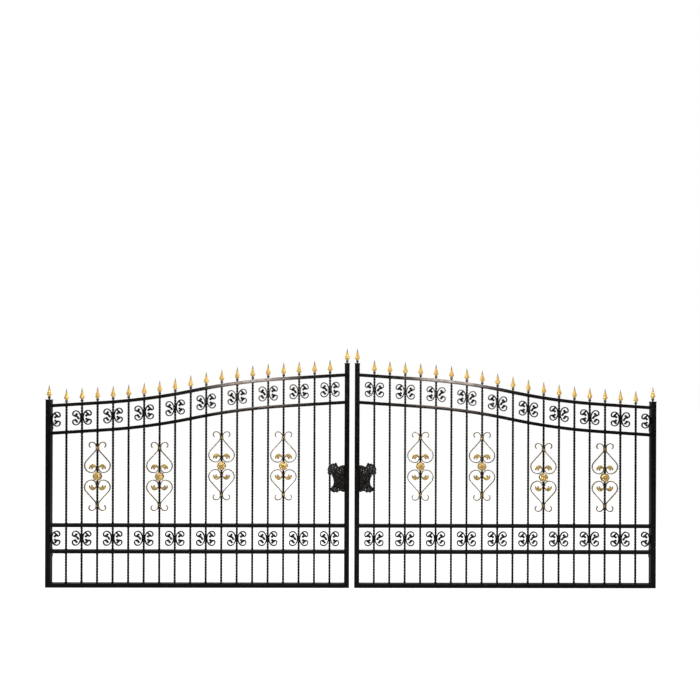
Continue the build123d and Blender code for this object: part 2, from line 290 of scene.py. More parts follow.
def arch_level(x):
    """Height of the middle of the arched top rail above a place on the left leaf."""
    side = math.copysign(1, x - turn_x)
    centre_x = turn_x + side * arc_radius * math.sin(turn_angle)
    centre_z = arch_turn_z - side * arc_radius * math.cos(turn_angle)
    tangent_x = turn_x + side * ARC_SPAN
    along = side * min(side * x, side * tangent_x)
    return centre_z + side * math.sqrt(arc_radius ** 2 - (along - centre_x) ** 2) + (x - along) * END_SLOPE


top_rail_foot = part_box("left_arched_top_rail")[0].z
arch_low_end = top_rail_foot + RAIL_HEIGHT / 2 / math.cos(end_angle)
arch_turn_z = arch_low_end + (turn_x - ARC_SPAN - inner_x) * END_SLOPE + arc_rise
band_drop = top_rail_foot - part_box("left_arched_second_rail")[0].z


def on_side(side, points):
    """Points of the left leaf as they are, or mirrored to the right leaf."""
    if side == "left":
        return [tuple(point) for point in points]
    return [(2 * mirror_x - x, y, z) for x, y, z in points]


def frame_member(side, name, points, width, depth, corner):
    """One tube of a leaf, in place of its plain solid."""
    node = f"{side}_{name}"
    mesh = bar_mesh(node, [on_side(side, points)], width, depth, corner, satin_black)
    keep_piece(f"{node}_tube", mesh, f"{side}_leaf", [node])


def rail_line(level):
    """Points along a rail, which runs into the rounded corners of both stiles."""
    count = round((latch_x - inner_x) / ARCH_STEP)
    start = inner_x - TUBE_CORNER
    step = (latch_x - inner_x + 2 * TUBE_CORNER) / count
    return [(start + number * step, leaf_y, level(start + number * step)) for number in range(count + 1)]


bottom_z = foot_z + BOTTOM_RAIL_HEIGHT / 2
lower_mid_low, lower_mid_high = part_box("left_lower_mid_rail")
upper_mid_low, upper_mid_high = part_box("left_upper_mid_rail")
lower_mid_z = (lower_mid_low.z + lower_mid_high.z) / 2
upper_mid_z = (upper_mid_low.z + upper_mid_high.z) / 2
rail_levels = {
    "bottom_rail": (lambda x: bottom_z, BOTTOM_RAIL_HEIGHT),
    "lower_mid_rail": (lambda x: lower_mid_z, RAIL_HEIGHT),
    "upper_mid_rail": (lambda x: upper_mid_z, RAIL_HEIGHT),
    "arched_second_rail": (lambda x: arch_level(x) - band_drop, RAIL_HEIGHT),
    "arched_top_rail": (arch_level, RAIL_HEIGHT),
}
stiles = (("hinge_stile", hinge_low.x, hinge_high.z), ("latch_stile", latch_x, latch_high.z))
for side in SIDES:
    for name, x, top in stiles:
        middle = x + tube / 2
        frame_member(side, name, [(middle, leaf_y, foot_z), (middle, leaf_y, top)], tube, tube, TUBE_CORNER)
    for name, (level, height) in rail_levels.items():
        frame_member(side, name, rail_line(level), height + 2 * COAT, tube, RAIL_CORNER)


# Stile caps
# A square of flat steel plate welded on top of each upright, a few millimetres proud all round, with
# its edges knocked off before painting.
CAP_CORNER = 1.2 * MM
JOIN_DISTANCE = 0.01 * MM
FLAT_ANGLE = math.radians(0.3)


def mesh_from(work, name, material=None):
    """The mesh that was built up in a working copy, which is then let go."""
    mesh = bpy.data.meshes.new(name)
    work.to_mesh(mesh)
    work.free()
    if material:
        mesh.materials.append(material)
    return mesh


def soften(node, corner, side, material, name):
    """Keep a frame node's shape with its triangles joined into whole flats and its sharp edges rounded."""
    work = bmesh.new()
    work.from_mesh(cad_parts[node].data)
    bmesh.ops.remove_doubles(work, verts=work.verts, dist=JOIN_DISTANCE)
    bmesh.ops.dissolve_limit(work, angle_limit=FLAT_ANGLE, verts=work.verts, edges=work.edges)
    sharp = [edge for edge in work.edges if edge.is_manifold and edge.calc_face_angle() > SHARP_ANGLE]
    bmesh.ops.bevel(work, geom=sharp, offset=corner, segments=CORNER_STEPS, affect="EDGES",
                    clamp_overlap=True)
    keep_piece(name, mesh_from(work, name, material), f"{side}_leaf", [node])


for side in SIDES:
    for stile in ("hinge", "latch"):
        node = f"{side}_{stile}_stile_cap"
        soften(node, CAP_CORNER, side, satin_black, f"{node}_plate")


# Twisted pickets
# Half-inch square steel bar, twisted cold from end to end, cut to length between the rails and welded
# at both ends. The corners of the bar are a little rounded by the mill.
PICKET_COUNT = 18
TURNS_PER_METRE = 11.0
PHASE_PER_METRE = 5.3
PICKET_CORNER = 1.1 * MM
PICKET_RING = 7.0 * MM
PICKET_SEAT = 1.5 * MM

pickets_low, pickets_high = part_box("left_pickets")
picket_size = pickets_high.y - pickets_low.y
clear_bay = (latch_x - inner_x - PICKET_COUNT * picket_size) / (PICKET_COUNT + 1)
picket_xs = [inner_x + clear_bay + picket_size / 2 + number * (clear_bay + picket_size)
             for number in range(PICKET_COUNT)]


def picket_bays(x):
    """Lowest and highest place of a picket's four runs between the rails."""
    half = RAIL_HEIGHT / 2
    second = arch_level(x) - band_drop
    levels = [(foot_z + BOTTOM_RAIL_HEIGHT, lower_mid_z - half), (lower_mid_z + half, upper_mid_z - half)]
    return levels + [(upper_mid_z + half, second - half), (second + half, arch_level(x) - half)]


def picket_paths():
    """Closely spaced points up every run of every picket, for the twist to follow."""
    paths = []
    for x in picket_xs:
        for low, high in picket_bays(x):
            start = low - PICKET_SEAT
            length = high - low + 2 * PICKET_SEAT
            count = round(length / PICKET_RING)
            paths.append([(x, leaf_y, start + length * number / count) for number in range(count + 1)])
    return paths


for side in SIDES:
    name = f"{side}_pickets"
    paths = [on_side(side, path) for path in picket_paths()]
    bar = picket_size + 2 * COAT
    mesh = bar_mesh(name, paths, bar, bar, PICKET_CORNER, satin_black, Turns=TURNS_PER_METRE,
                    Phase=PHASE_PER_METRE)
    keep_piece(f"{name}_twisted", mesh, f"{side}_leaf", [name])


# Weld beads
# A small fillet of weld round both ends of every picket run, left as laid and painted over, so it shows
# as a soft lump in the corner between bar and rail.
BEAD_GIRTH = 2.2 * MM
BEAD_STEPS = 12
BEAD_SIDES = 5
BEAD_OUTSET = BEAD_GIRTH / 3
BEAD_SQUARENESS = 1.3
BEAD_SPREAD = (0.75, 1.25)
BEAD_SEED = 7
CAST_SIDES = 8
ROUND = 1.0
SLOPE_STEP = 1.0 * MM


def build_cast_tree():
    """Sweep a flattened round section, as thick as each point says, along every path."""
    tree, given, result = new_group(
        "cast_strokes", "GeometryNodeTree",
        {"Paths": "Geometry", "Sides": "Int", "Flatness": "Float", "Material": "Material"},
        {"Strokes": "Geometry"},
    )
    curves = path_curves(tree, given["Paths"])
    section = add(tree, "GeometryNodeCurvePrimitiveCircle", {"Resolution": given["Sides"], "Radius": 1.0})
    squash = add(tree, "ShaderNodeCombineXYZ", {0: given["Flatness"], 1: 1.0, 2: 1.0})
    flat = add(tree, "GeometryNodeTransform", {"Geometry": section.outputs[0], "Scale": squash.outputs[0]})
    girth = add(tree, "GeometryNodeInputNamedAttribute", {"Name": "girth"}, data_type="FLOAT")
    swept = add(tree, "GeometryNodeCurveToMesh",
                {"Curve": curves, "Profile Curve": flat.outputs[0], "Scale": girth.outputs[0],
                 "Fill Caps": True})
    end_tree(tree, swept.outputs[0], given["Material"], result["Strokes"])
    return tree


cast_tree = build_cast_tree()


def cast_mesh(name, paths, flatness, material, sides=CAST_SIDES, **values):
    """Cast strokes along the paths, with their girths and other values, as a plain mesh."""
    return plain_mesh(name, path_mesh(name, paths, **values), cast_tree, Flatness=flatness, Sides=sides,
                      Material=material)


def bead_ring(x, z, slope):
    """A closed loop of weld round the foot of a picket, on a level or sloping rail."""
    reach = picket_size / 2 + BEAD_OUTSET
    ring = []
    for number in range(BEAD_STEPS + 1):
        angle = math.tau * number / BEAD_STEPS
        across = max(-reach, min(reach, BEAD_SQUARENESS * reach * math.cos(angle)))
        deep = max(-reach, min(reach, BEAD_SQUARENESS * reach * math.sin(angle)))
        ring.append((x + across, leaf_y + deep, z + slope * across))
    return ring


def arch_slope(x):
    """Slope of the arched rails above a place on the left leaf."""
    return (arch_level(x + SLOPE_STEP) - arch_level(x - SLOPE_STEP)) / (2 * SLOPE_STEP)


def bead_paths():
    """The rings of weld at both ends of every run of every picket."""
    rings = []
    for x in picket_xs:
        slope = arch_slope(x)
        slopes = ((0, 0), (0, 0), (0, slope), (slope, slope))
        for (low, high), (low_slope, high_slope) in zip(picket_bays(x), slopes):
            rings.append(bead_ring(x, low, low_slope))
            rings.append(bead_ring(x, high, high_slope))
    return rings


bead_chance = np.random.default_rng(BEAD_SEED)
for side in SIDES:
    name = f"{side}_weld_beads"
    rings = [on_side(side, ring) for ring in bead_paths()]
    girths = [BEAD_GIRTH * bead_chance.uniform(*BEAD_SPREAD, len(ring)) for ring in rings]
    for girth in girths:
        girth[-1] = girth[0]
    mesh = cast_mesh(name, rings, ROUND, satin_black, BEAD_SIDES, girth=girths)
    keep_piece(name, mesh, f"{side}_leaf")


# Spear points
# Cast iron finials, one on every picket and upright: a flat four-edged head brushed with gold paint over
# a bronze-brown ball and a short stem, which is welded on its seat.
HEAD_FOOT = 27.0
GOLD_EDGE = 3.0
SPEAR_RINGS = (
    (-1.0, 7.5, 7.5, 0), (3.0, 5.8, 5.8, 0), (6.0, 6.4, 6.4, 0), (9.0, 9.0, 9.0, 0), (12.0, 11.2, 11.2, 0),
    (15.5, 12.0, 12.0, 0), (19.0, 11.0, 11.0, 0), (22.0, 8.6, 8.6, 0), (24.5, 7.0, 6.4, 0),
    (HEAD_FOOT, 8.2, 6.0, 1), (30.5, 13.0, 6.5, 1), (35.0, 18.0, 7.0, 1), (39.5, 20.4, 7.3, 1),
    (43.0, 20.9, 7.4, 1), (49.0, 19.2, 7.0, 1), (57.0, 16.0, 6.4, 1), (66.0, 12.8, 5.7, 1),
    (76.0, 9.8, 4.9, 1), (88.0, 6.8, 4.0, 1), (99.0, 4.3, 3.0, 1), (108.0, 2.6, 2.1, 1),
    (115.0, 1.3, 1.1, 1),
)
SPEAR_CORNERS = 12
SPEAR_TIP = 118.0
TIP_FADE = (76.0, 100.0)
TIP_SHADE = 0.75
BRONZE_AND_SHADE = (0.06, 0.042, 0.018, 1)


def ring_points(height, half_x, half_y, flat):
    """One section, in millimetres: a circle, or if flat a diamond with corners to the sides and faces."""
    points = []
    for number in range(SPEAR_CORNERS):
        angle = math.tau * number / SPEAR_CORNERS
        cosine, sine = math.cos(angle), math.sin(angle)
        reach = 1 / (abs(cosine) + abs(sine)) if flat else 1
        points.append((half_x * reach * cosine * MM, half_y * reach * sine * MM, height * MM))
    return points


def lathe_mesh(name, rings, tip):
    """A closed skin over a stack of sections, with a pointed top."""
    points = [point for ring in rings for point in ring] + [tip]
    count = len(rings[0])
    faces = [tuple(reversed(range(count)))]
    for level in range(len(rings) - 1):
        start = level * count
        for number in range(count):
            after = (number + 1) % count
            faces.append((start + number, start + after, start + count + after, start + count + number))
    top = len(points) - 1
    start = top - count
    faces += [(start + number, start + (number + 1) % count, top) for number in range(count)]
    mesh = bpy.data.meshes.new(name)
    mesh.from_pydata(points, [], faces)
    return mesh


def build_place_tree():
    """Put a copy of a finial on every point."""
    tree, given, result = new_group(
        "finial_on_points", "GeometryNodeTree",
        {"Seats": "Geometry", "Finial": "Object", "Material": "Material"},
        {"Finials": "Geometry"},
    )
    model = add(tree, "GeometryNodeObjectInfo", {"Object": given["Finial"]})
    placed = add(tree, "GeometryNodeInstanceOnPoints",
                 {"Points": given["Seats"], "Instance": model.outputs["Geometry"]})
    end_tree(tree, placed.outputs[0], given["Material"], result["Finials"])
    return tree


def show_through(material, attribute, colour):
    """Bring another colour over a paint as far as a named value of the piece says."""
    tree = material.node_tree
    shader = tree.nodes["Principled BSDF"]
    coat = shader.inputs["Base Color"].links[0].from_socket
    mask = add(tree, "ShaderNodeAttribute", attribute_name=attribute).outputs["Fac"]
    tree.links.new(mixed(tree, mask, coat, colour), shader.inputs["Base Color"])


def gold_over_bronze(name, gold, worn, scale):
    """Gold paint brushed over bronze, thinner in patches, with the bronze colour brought over it as far as
    the piece's own attribute says: bronze on the spears' balls and stems, painted shade on the rosettes and
    leaves.
    """
    # Its dust and top light colour is a bright gold: a painted highlight on what faces up.
    material = coated(
        name, relief=0.3, relief_depth=0.3 * MM, specular=0.5, metallic=0.35,
        color=gold, patch_color=worn, patch_scale=scale, patch_amount=0.75,
        dust_color=(0.95, 0.75, 0.35, 1), dust=0.2, roughness=0.38, grain_scale=500.0,
    )
    show_through(material, "bronze", BRONZE_AND_SHADE)
    return material


spear_gold = gold_over_bronze(
    "spear_gold_paint", gold=(0.6, 0.39, 0.11, 1), worn=(0.34, 0.2, 0.05, 1), scale=60.0,
)
place_tree = build_place_tree()
spear_mesh = lathe_mesh("spear", [ring_points(*ring) for ring in SPEAR_RINGS], (0, 0, SPEAR_TIP * MM))
bronze = spear_mesh.attributes.new("bronze", "FLOAT", "POINT")
# On the spear the value is full on the bronze-brown ball and stem, nought on the gold head, and rises to
# TIP_SHADE towards the tip, so the tip goes darker.
shade_heights = (HEAD_FOOT, HEAD_FOOT + GOLD_EDGE, *TIP_FADE)
heights = [vertex.co.z / MM for vertex in spear_mesh.vertices]
bronze.data.foreach_set("value", np.interp(heights, shade_heights, (1.0, 0.0, 0.0, TIP_SHADE)))
spear_model = bpy.data.objects.new("spear_model", spear_mesh)
bpy.context.collection.objects.link(spear_model)
cap_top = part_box("left_hinge_stile_cap")[1].z
tall_cap_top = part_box("left_latch_stile_cap")[1].z
for side in SIDES:
    name = f"{side}_spear_points"
    seats = [(x, leaf_y, arch_level(x) + RAIL_HEIGHT / 2) for x in picket_xs]
    seats += [(hinge_low.x + tube / 2, leaf_y, cap_top), (latch_x + tube / 2, leaf_y, tall_cap_top)]
    mesh = plain_mesh(name, path_mesh(name, [[seat] for seat in on_side(side, seats)]), place_tree,
                      Finial=spear_model, Material=spear_gold)
    keep_piece(f"{name}_cast", mesh, f"{side}_leaf", [name])
bpy.data.objects.remove(spear_model)


# Scroll bands
# C-scrolls bent hot from flat bar, back to back on every second picket in both bands, with one more on the
# hinge stile, and small black leaf castings welded inside their curls. The bars are drawn fuller than the
# solids have them, so that the thin curls read as boldly as in the photo.
SCROLL_THICKNESS = 6.0
SCROLL_DEPTH = 12.0 * MM
SCROLL_CORNER = 1.2 * MM
SCROLL_WIDTH = 8.8
SCROLL_BENDS = ((75.0, 30.0), (40.0, 35.0), (25.5, 115.0), (15.5, 88.0))
SCROLL_REACH = 33.0
ARC_STEP = 9.0
SCROLL_LEAF_FLATNESS = 0.7
SCROLL_LEAF_FULLNESS = 1.75
WELD_LEVEL = 9.0
SMOOTH_STEPS = 3


class BarLine:
    """Middle line of a forged bar in the gate's plane, in millimetres."""

    def __init__(self, x, z, heading):
        self.points = [(x, z)]
        self.heading = math.radians(heading)

    def run(self, length):
        """Go straight on."""
        x, z = self.points[-1]
        self.points.append((x + length * math.cos(self.heading), z + length * math.sin(self.heading)))

    def bend(self, radius, turn):
        """Follow an arc to the right by a number of degrees, or to the left if it is negative."""
        facets = max(2, round(abs(turn) / ARC_STEP))
        step = -math.radians(turn) / facets
        for _ in range(facets):
            self.heading += step / 2
            self.run(2 * radius * math.sin(abs(step) / 2))
            self.heading += step / 2


def c_scroll_line():
    """Middle line of a C-scroll with its spine at nought, open towards +X."""
    upper = BarLine(SCROLL_THICKNESS / 2, 0, 90)
    for radius, turn in SCROLL_BENDS:
        upper.bend(radius, turn)
    return [(x, -z) for x, z in upper.points[:0:-1]] + upper.points


OPEN_RIGHT_STROKES = (
    ((55, 19, 3.2), (49, 20, 5.0), (42, 23, 6.4), (33, 19, 4.6), (26, 13, 6.0), (22, 9, 3.4)),
    ((43, 24, 5.0), (36, 32, 4.6), (29, 40, 4.2), (22, 47, 5.0), (18, 51, 2.8)),
    ((55, -19, 3.2), (49, -18, 5.0), (42, -20, 6.4), (33, -16, 4.4), (26, -10, 6.0), (23, -7, 3.2)),
    ((42, -20, 5.0), (35, -28, 4.6), (29, -35, 6.0), (26, -39, 3.2)),
)
OPEN_LEFT_STROKES = (
    ((56, 21, 3.4), (51, 19, 5.4), (46, 18, 6.6), (40, 25, 4.4), (34, 32, 6.2), (31, 36, 3.2)),
    ((48, 17, 5.0), (38, 13, 5.0), (29, 7, 4.6), (23, -2, 5.4), (21, -8, 5.6), (21, -12, 3.0)),
    ((55, -19, 3.2), (49, -18, 6.0), (43, -20, 6.4), (37, -26, 4.4), (32, -34, 6.2), (30, -38, 3.2)),
)
WELD_DOT = ((0, -3, 1.8), (0, -1, 3.2), (0, 1, 3.2), (0, 3, 1.8))


def seated(points, x, z, way):
    """Points in the gate's plane, in millimetres, at a place and facing one way or the other."""
    return [(x + way * px * MM, leaf_y, z + pz * MM) for px, pz in points]


def smooth_line(points):
    """A smooth line through a few points, each a tuple of numbers, by cubic spans."""
    knots = [np.array(point, float) for point in points]
    knots = [2 * knots[0] - knots[1]] + knots + [2 * knots[-1] - knots[-2]]
    line = []
    for a, b, c, d in zip(knots, knots[1:], knots[2:], knots[3:]):
        for number in range(SMOOTH_STEPS):
            t = number / SMOOTH_STEPS
            line.append(0.5 * (2 * b + (c - a) * t + (2 * a - 5 * b + 4 * c - d) * t * t
                               + (3 * b - a - 3 * c + d) * t ** 3))
    line.append(knots[-2])
    return line


def stroke_set(strokes, x, z, way, fullness=1.0):
    """Smooth strokes of a casting and their girths."""
    lines = [smooth_line(stroke) for stroke in strokes]
    paths = [seated([(px, pz) for px, pz, _ in line], x, z, way) for line in lines]
    return paths, [[girth * fullness * MM for _, _, girth in line] for line in lines]


def scroll_places(level):
    """Spine, height and way of opening of every C-scroll in a band."""
    spines = [(inner_x, 1)]
    for x in picket_xs[1::2]:
        spines += [(x - picket_size / 2, -1), (x + picket_size / 2, 1)]
    return [(x, level(x + way * SCROLL_REACH * MM), way) for x, way in spines]


def weld_dots(x, z, way):
    """Two dots of weld between the spine of a scroll and what carries it, above and below its middle."""
    paths, widths = [], []
    for shift in (WELD_LEVEL, -WELD_LEVEL):
        lines, girths = stroke_set([[(px, pz + shift, girth) for px, pz, girth in WELD_DOT]], x, z, way)
        paths += lines
        widths += girths
    return paths, widths


lower_band_z = (lower_mid_z + upper_mid_z) / 2
scroll_bands = {
    "lower_scrolls": lambda x: lower_band_z,
    "upper_scrolls": lambda x: arch_level(x) - band_drop / 2,
}
for side in SIDES:
    for band, level in scroll_bands.items():
        name = f"{side}_{band}"
        bars, strokes, girths = [], [], []
        for x, z, way in scroll_places(level):
            bars.append(on_side(side, seated(c_scroll_line(), x, z, way)))
            shapes = OPEN_RIGHT_STROKES if way > 0 else OPEN_LEFT_STROKES
            castings = stroke_set(shapes, x, z, way, SCROLL_LEAF_FULLNESS)
            for paths, widths in (castings, weld_dots(x, z, way)):
                strokes += [on_side(side, path) for path in paths]
                girths += widths
        mesh = bar_mesh(name, bars, SCROLL_WIDTH * MM, SCROLL_DEPTH, SCROLL_CORNER, satin_black)
        keep_piece(f"{name}_bars", mesh, f"{side}_leaf", [name])
        mesh = cast_mesh(name, strokes, SCROLL_LEAF_FLATNESS, satin_black, girth=girths)
        keep_piece(f"{name}_leaf_castings", mesh, f"{side}_leaf")


# Heart ornaments
# Four bars to each heart, bent from flat bar and brushed with thin gold over black so that they look like
# old bronze. They are bound to a picket by two bronze sleeves and end in two-lobed gold leaf castings.
HEART_NUMBERS = (3, 7, 11, 15)
SHOULDER_RADIUS = 56.0
SHOULDER_HEIGHT = 86.0
SHOULDER_OFFSET = 46.0
SIDE_TURN = 42.0
SIDE_RADIUS = 40.0
END_RUN = 6.0
BINDING_RUN = 12.0
TOP_RADIUS = 35.0
TIP_RADIUS = 22.0
TIP_TURN = 150.0
HEART_LEAF_STROKES = (
    ((8, 68, 3.2), (14, 80, 5.0), (24, 89, 8.0), (36, 93, 9.4), (48, 89, 9.6), (58, 80, 8.4), (62, 69, 6.8),
     (61, 62, 3.6)),
    ((22, 85, 7.0), (32, 82, 8.8), (41, 75, 8.4), (43, 66, 6.8), (41, 59, 3.8)),
)
UPPER_LEAF_DROP = 4.0
LOWER_LEAF_DROP = 10.0
HEART_LEAF_FLATNESS = 0.8
SHADED_GIRTHS = (4.2, 8.0)
EDGE_PAINTED_SHADE = 0.9
SLEEVE_WIDTH = 25.0 * MM
SLEEVE_DEPTH = 16.0 * MM
SLEEVE_CORNER = 2.0 * MM
SLEEVE_SPAN = (215.0, 241.0)

heart_bronze = coated(
    "heart_bronze_paint", relief=0.4, relief_depth=0.3 * MM, specular=0.4, metallic=0.4,
    color=(0.045, 0.034, 0.016, 1), patch_color=(0.24, 0.17, 0.06, 1), patch_scale=90.0, patch_amount=0.85,
    dust_color=(0.3, 0.24, 0.14, 1), dust=0.2, roughness=0.42, grain_scale=400.0,
)
binding_bronze = coated(
    "binding_bronze_paint", relief=0.5, relief_depth=0.4 * MM, specular=0.4, metallic=0.3,
    color=(0.018, 0.013, 0.008, 1), patch_color=(0.42, 0.28, 0.07, 1), patch_scale=120.0, patch_amount=0.7,
    dust_color=(0.3, 0.24, 0.14, 1), dust=0.2, roughness=0.4, grain_scale=400.0,
)
leaf_gold = gold_over_bronze(
    "leaf_gold_paint", gold=(0.4, 0.26, 0.055, 1), worn=(0.03, 0.018, 0.007, 1), scale=62.0,
)


def heart_line():
    """Middle line of the upper right bar of a heart, from the leaf outwards."""
    side_x = picket_size / MM / 2 + SCROLL_THICKNESS / 2
    return_radius = SHOULDER_OFFSET - side_x
    line = BarLine(side_x, SHOULDER_HEIGHT - SHOULDER_RADIUS + return_radius + END_RUN, -90)
    line.run(END_RUN)
    line.bend(return_radius, -90)
    line.bend(SHOULDER_RADIUS, -90 - SIDE_TURN)
    angle = math.radians(SIDE_TURN)
    across = line.points[-1][0] - side_x - SIDE_RADIUS * (1 - math.cos(angle))
    line.run(across / math.sin(angle))
    line.bend(SIDE_RADIUS, SIDE_TURN)
    line.run(BINDING_RUN)
    line.bend(TOP_RADIUS, 90)
    line.bend(TIP_RADIUS, TIP_TURN)
    return line.points


def four_ways(points):
    """Points of the upper right quarter repeated in all four quarters."""
    return [[(across * point[0], up * point[1], *point[2:]) for point in points]
            for across in (1, -1) for up in (1, -1)]


def dropped(stroke):
    """A leaf's stroke at the height where it hangs, above or below the middle of the heart."""
    return [(x, z - (UPPER_LEAF_DROP if z > 0 else LOWER_LEAF_DROP), girth) for x, z, girth in stroke]


rosette_low, rosette_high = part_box("left_rosettes")
rosette_radius = rosette_high.x - picket_xs[HEART_NUMBERS[-1] - 1]
low_heart_z = rosette_low.z + rosette_radius
high_heart_z = rosette_high.z - rosette_radius
heart_levels = (low_heart_z, low_heart_z, high_heart_z, high_heart_z)
heart_places = [(picket_xs[number - 1], level) for number, level in zip(HEART_NUMBERS, heart_levels)]
leaf_strokes = [dropped(stroke) for quarter in HEART_LEAF_STROKES for stroke in four_ways(quarter)]
for side in SIDES:
    bars, leaves, girths, sleeves = [], [], [], []
    for x, z in heart_places:
        bars += [on_side(side, seated(points, x, z, 1)) for points in four_ways(heart_line())]
        paths, widths = stroke_set(leaf_strokes, x, z, 1)
        leaves += [on_side(side, path) for path in paths]
        girths += widths
        for way in (1, -1):
            sleeves.append(on_side(side, [(x, leaf_y, z + way * level * MM) for level in SLEEVE_SPAN]))
    name = f"{side}_heart_scrolls"
    mesh = bar_mesh(name, bars, SCROLL_THICKNESS * MM + 2 * COAT, SCROLL_DEPTH, SCROLL_CORNER, heart_bronze)
    keep_piece(f"{name}_bars", mesh, f"{side}_leaf", [name])
    name = f"{side}_heart_leaves"
    # Painted shade: the thin edges and tips of each leaf stroke are darkened by the bronze value, where they
    # curve away from the light.
    shades = [np.interp(path, [girth * MM for girth in SHADED_GIRTHS], (EDGE_PAINTED_SHADE, 0.0)) for path in girths]
    mesh = cast_mesh(name, leaves, HEART_LEAF_FLATNESS, leaf_gold, girth=girths, bronze=shades)
    keep_piece(f"{name}_cast", mesh, f"{side}_leaf", [name])
    name = f"{side}_heart_sleeves"
    mesh = bar_mesh(name, sleeves, SLEEVE_WIDTH, SLEEVE_DEPTH, SLEEVE_CORNER, binding_bronze)
    keep_piece(name, mesh, f"{side}_leaf")


# Rosettes
# Stamped gold flowers of three rings of petals round a raised button, on a round backing. One is on the
# front and one on the back of the picket at the middle of each heart, held by a weld through the middle.
PETALS = 8
PETAL_RINGS = ((35.0, 13.4, 3.4, 0.0), (24.0, 9.0, 6.0, 0.5), (14.0, 5.6, 8.0, 0.0))
BUTTON_RADIUS = 6.0
BUTTON_FLATNESS = 0.75
BUTTON_RISE = 3.0
BUTTON_SIDES = 16
PETAL_ROOT = 4.0
PETAL_STEPS = 6
PETAL_COLUMNS = 2
PETAL_THICKNESS = 1.6
PETAL_SPREAD = (0.12, 0.8)
PETAL_BLUNTNESS = 0.8
PETAL_LIFT = (0.35, 0.65)
PETAL_CURL = (0.15, 0.85)
PETAL_ROUNDING = 0.55
PETAL_CREASE = 0.9
BACKING_RADIUS = 34.0
BACKING_BEVEL = 1.0
BACKING_RISE = 2.4
BACKING_SIDES = 32
ROSETTE_PAINTED_SHADE = ((4.0, 0.2), (9.0, 0.55), (13.0, 0.1), (25.0, 0.0), (30.0, 0.45), (34.0, 0.95))


def petal_points(reach, half_width, rise, turn):
    """Rows of points over one petal, domed, creased and narrow at both ends, as across, up and height."""
    angle = math.tau * turn
    rows = []
    for row in range(PETAL_STEPS + 1):
        along = row / PETAL_STEPS
        distance = PETAL_ROOT + (reach - PETAL_ROOT) * along
        spread = math.sin(math.pi * (PETAL_SPREAD[0] + PETAL_SPREAD[1] * along))
        curl = math.sin(math.pi * min(1.0, PETAL_CURL[0] + PETAL_CURL[1] * along))
        dome = rise * (PETAL_LIFT[0] + PETAL_LIFT[1] * curl)
        crease = PETAL_CREASE * math.sin(math.pi * along)
        rows.append([])
        for column in range(-PETAL_COLUMNS, PETAL_COLUMNS + 1):
            across = column / PETAL_COLUMNS
            height = dome * (1 - PETAL_ROUNDING * across * across) - crease * (1 - abs(across))
            aside = half_width * spread ** PETAL_BLUNTNESS * across
            rows[-1].append((distance * math.cos(angle) - aside * math.sin(angle),
                             distance * math.sin(angle) + aside * math.cos(angle), height))
    return rows


def add_petal(work, grid):
    """Close one petal with a domed front, a flat back and a rim between them."""
    rims = []
    for front in (True, False):
        skin = [[work.verts.new((x, -(rise + PETAL_THICKNESS) if front else 0.0, z)) for x, z, rise in row]
                for row in grid]
        for row, above in zip(skin, skin[1:]):
            for a, b, c, d in zip(row, row[1:], above[1:], above):
                work.faces.new((a, b, c, d) if front else (d, c, b, a))
        ends = [row[-1] for row in skin[1:]]
        starts = [row[0] for row in skin[-2:0:-1]]
        rims.append(skin[0] + ends + skin[-1][-2::-1] + starts)
    top, low = rims
    for number in range(len(top)):
        after = (number + 1) % len(top)
        work.faces.new((top[after], top[number], low[number], low[after]))


def rosette_mesh():
    """Three rings of petals, the button and the backing, facing -Y with the picket's face at nought."""
    work = bmesh.new()
    shade = work.verts.layers.float.new("bronze")
    for reach, half_width, rise, offset in PETAL_RINGS:
        for petal in range(PETALS):
            add_petal(work, petal_points(reach, half_width, rise, (petal + offset) / PETALS))
    button = bmesh.ops.create_uvsphere(work, u_segments=BUTTON_SIDES, v_segments=BUTTON_SIDES // 2,
                                       radius=BUTTON_RADIUS)
    for vertex in button["verts"]:
        vertex.co = Vector((vertex.co.x, vertex.co.y * BUTTON_FLATNESS - BUTTON_RISE, vertex.co.z))
    backing = bmesh.ops.create_cone(work, cap_ends=True, segments=BACKING_SIDES, radius1=BACKING_RADIUS,
                                    radius2=BACKING_RADIUS - BACKING_BEVEL, depth=BACKING_RISE)
    for vertex in backing["verts"]:
        vertex.co = Vector((vertex.co.x, -vertex.co.z - BACKING_RISE / 2, vertex.co.y))
    # Painted shade: the value darkens the ring round the button and the outer petals and rim of the backing,
    # where shade falls between the parts.
    steps, shades = zip(*ROSETTE_PAINTED_SHADE)
    for vertex in work.verts:
        vertex[shade] = float(np.interp(math.hypot(vertex.co.x, vertex.co.z), steps, shades))
    bmesh.ops.scale(work, vec=(MM, MM, MM), verts=work.verts)
    bmesh.ops.recalc_face_normals(work, faces=work.faces)
    return mesh_from(work, "rosette")


rosette_gold = gold_over_bronze(
    "rosette_gold_paint", gold=(0.5, 0.34, 0.1, 1), worn=(0.2, 0.12, 0.03, 1), scale=70.0,
)
flower = rosette_mesh()
for side in SIDES:
    work = bmesh.new()
    for place_x, _, place_z in on_side(side, [(x, leaf_y, z) for x, z in heart_places]):
        for face in (1, -1):
            part = flower.copy()
            spin = Matrix.Rotation(0 if face > 0 else math.pi, 4, "Z")
            seat = Matrix.Translation((place_x, leaf_y - face * picket_size / 2, place_z))
            part.transform(seat @ spin)
            work.from_mesh(part)
            bpy.data.meshes.remove(part)
    name = f"{side}_rosettes"
    keep_piece(f"{name}_stamped", mesh_from(work, name, rosette_gold), f"{side}_leaf", [name])
bpy.data.meshes.remove(flower)
